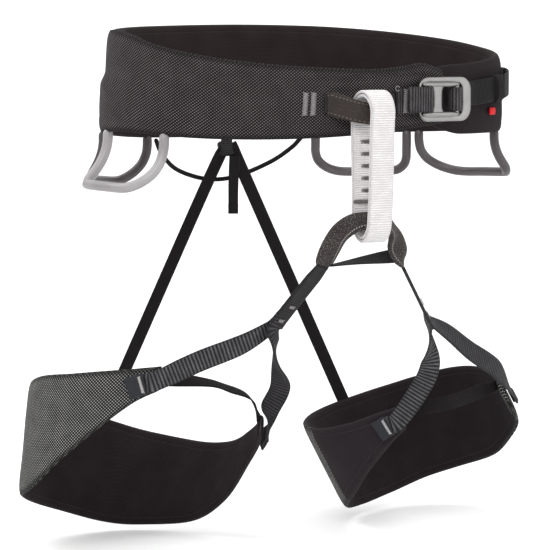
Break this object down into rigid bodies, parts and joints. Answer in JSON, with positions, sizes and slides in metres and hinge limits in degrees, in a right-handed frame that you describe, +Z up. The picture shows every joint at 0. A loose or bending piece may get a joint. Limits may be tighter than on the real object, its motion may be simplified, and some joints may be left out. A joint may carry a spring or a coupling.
{
  "type": "climbing harness",
  "caption": "Sit harness in its worn shape: padded waist belt with a sliding-bar buckle, gear loops, belay loop, and two padded leg loops hung from a lower tie-in and elastic risers.",
  "frame": {"origin": "middle of the waist opening, half way up the belt", "axes": "+Z up towards the wearer's head, -Y the way the wearer faces, -X the wearer's right hand side"},
  "size_m": [0.3888, 0.2415, 0.3531],
  "materials": {
    "mesh": "woven air mesh, dull",
    "lining": "smooth brushed knit",
    "foam": "closed-cell foam sheet",
    "webbing": "ribbed nylon webbing",
    "protector": "coated wear sleeve, stitched edges",
    "belay_webbing": "white ribbed nylon webbing",
    "thread": "zigzag bar tack stitching",
    "elastic": "woven elastic",
    "gear_plastic": "satin moulded plastic tube",
    "aluminium": "satin, tumbled edges",
    "hook_plastic": "moulded, fine grain",
    "tag": "woven tag, plain",
    "slate_patch": "coated patch with a stitched bar"
  },
  "bodies": {
    "waist_belt": {"belt_shell": "mesh", "belt_foam": "foam", "belt_lining": "lining", "belt_tacks_right": "thread", "belt_tacks_left": "thread", "upper_tie_in_core": "webbing", "upper_tie_in_protector": "protector", "buckle_frame": "aluminium", "waist_webbing": "webbing", "waist_strap_lower": "webbing", "waist_strap_upper": "webbing", "strap_keeper": "elastic", "size_tag": "tag", "lower_tie_in_core": "webbing", "lower_tie_in_protector": "protector", "cross_strap": "webbing", "riser_anchor": "webbing", "riser_hook": "hook_plastic"},
    "buckle_inner": {"buckle_slider": "aluminium", "waist_strap_turn": "webbing"},
    "strap_tail": {"waist_strap_tail": "webbing"},
    "haul": {"haul_cord": "elastic"},
    "belay_loop": {"belay_loop_outer": "belay_webbing", "belay_loop_inner": "belay_webbing", "belay_loop_tacks": "thread"},
    "riser_tail": {"riser_tail": "elastic"},
    "gear_right_front": {"gear_loop_right_front": "gear_plastic"},
    "gear_right_rear": {"gear_loop_right_rear": "gear_plastic"},
    "gear_left_front": {"gear_loop_left_front": "gear_plastic"},
    "gear_left_rear": {"gear_loop_left_rear": "gear_plastic"},
    "hanger_right": {"riser_right": "elastic"},
    "leg_right": {"leg_shell_right": "mesh", "leg_foam_right": "foam", "leg_lining_right": "lining", "leg_webbing_right": "webbing", "leg_branch_outer_right": "webbing", "leg_branch_inner_right": "webbing", "leg_tab_outer_right": "slate_patch", "leg_tab_inner_right": "slate_patch", "thigh_elastic_right": "elastic"},
    "hanger_left": {"riser_left": "elastic"},
    "leg_left": {"leg_shell_left": "mesh", "leg_foam_left": "foam", "leg_lining_left": "lining", "leg_webbing_left": "webbing", "leg_branch_outer_left": "webbing", "leg_branch_inner_left": "webbing", "leg_tab_outer_left": "slate_patch", "leg_tab_inner_left": "slate_patch", "thigh_elastic_left": "elastic"}
  },
  "joints": [
    {"name": "buckle_tilt", "type": "hinge", "parent": "waist_belt", "child": "buckle_inner", "pos_m": [0.03019, -0.10617, -0.0085], "axis": [0, 0, -1], "range_deg": [0, 20], "deforming": ["waist_strap_turn"]},
    {"name": "strap_tail_swing", "type": "hinge", "parent": "waist_belt", "child": "strap_tail", "pos_m": [0.12329, -0.05779, 0], "axis": [0, 0, -1], "range_deg": [0, 45], "stiffness_Nm_per_rad": 0.01},
    {"name": "gear_loop_right_front_swing", "type": "hinge", "parent": "waist_belt", "child": "gear_right_front", "pos_m": [-0.13849, -0.01629, -0.03437], "axis": [-0.2628, 0.9645, 0.0246], "range_deg": [-10, 35], "stiffness_Nm_per_rad": 0.05},
    {"name": "gear_loop_right_rear_swing", "type": "hinge", "parent": "waist_belt", "child": "gear_right_rear", "pos_m": [-0.10903, 0.05652, -0.03821], "axis": [0.7655, 0.6398, -0.0685], "range_deg": [-10, 35], "stiffness_Nm_per_rad": 0.05},
    {"name": "gear_loop_left_front_swing", "type": "hinge", "parent": "waist_belt", "child": "gear_left_front", "pos_m": [0.1343, 0.01707, -0.03814], "axis": [0.2789, -0.9599, 0.0281], "range_deg": [-10, 35], "stiffness_Nm_per_rad": 0.05},
    {"name": "gear_loop_left_rear_swing", "type": "hinge", "parent": "waist_belt", "child": "gear_left_rear", "pos_m": [0.08908, 0.07236, -0.04043], "axis": [0.8815, -0.4711, 0.031], "range_deg": [-10, 35], "stiffness_Nm_per_rad": 0.05},
    {"name": "haul_cord_swing", "type": "hinge", "parent": "waist_belt", "child": "haul", "pos_m": [-0.01111, 0.08742, -0.03965], "axis": [0.9985, 0.0552, -0.005], "range_deg": [0, 40], "stiffness_Nm_per_rad": 0.01},
    {"name": "belay_loop_swing", "type": "hinge", "parent": "waist_belt", "child": "belay_loop", "pos_m": [-0.0175, -0.1146, -0.017], "axis": [-1, 0, 0], "range_deg": [-1, 2]},
    {"name": "riser_tail_swing", "type": "hinge", "parent": "waist_belt", "child": "riser_tail", "pos_m": [-0.0066, 0.0884, -0.0516], "axis": [1, 0, 0], "range_deg": [-20, 20], "stiffness_Nm_per_rad": 0.005},
    {"name": "leg_right_spread", "type": "hinge", "parent": "waist_belt", "child": "hanger_right", "pos_m": [-0.045, -0.092, -0.1185], "axis": [0.1687, 0.9177, 0.3596], "range_deg": [-4, 10], "stiffness_Nm_per_rad": 0.8},
    {"name": "leg_right_lift", "type": "hinge", "parent": "hanger_right", "child": "leg_right", "pos_m": [-0.045, -0.092, -0.1185], "axis": [1, 0, 0], "range_deg": [-6, 16], "stiffness_Nm_per_rad": 1, "springref_deg": 6.88, "deforming": ["leg_webbing_right", "riser_right"]},
    {"name": "leg_left_spread", "type": "hinge", "parent": "waist_belt", "child": "hanger_left", "pos_m": [0.013, -0.103, -0.1185], "axis": [0.1141, -0.9318, -0.3447], "range_deg": [-4, 10], "stiffness_Nm_per_rad": 0.8},
    {"name": "leg_left_lift", "type": "hinge", "parent": "hanger_left", "child": "leg_left", "pos_m": [0.013, -0.103, -0.1185], "axis": [1, 0, 0], "range_deg": [-6, 16], "stiffness_Nm_per_rad": 1, "springref_deg": 6.88, "deforming": ["leg_webbing_left", "riser_left"]}
  ]
}
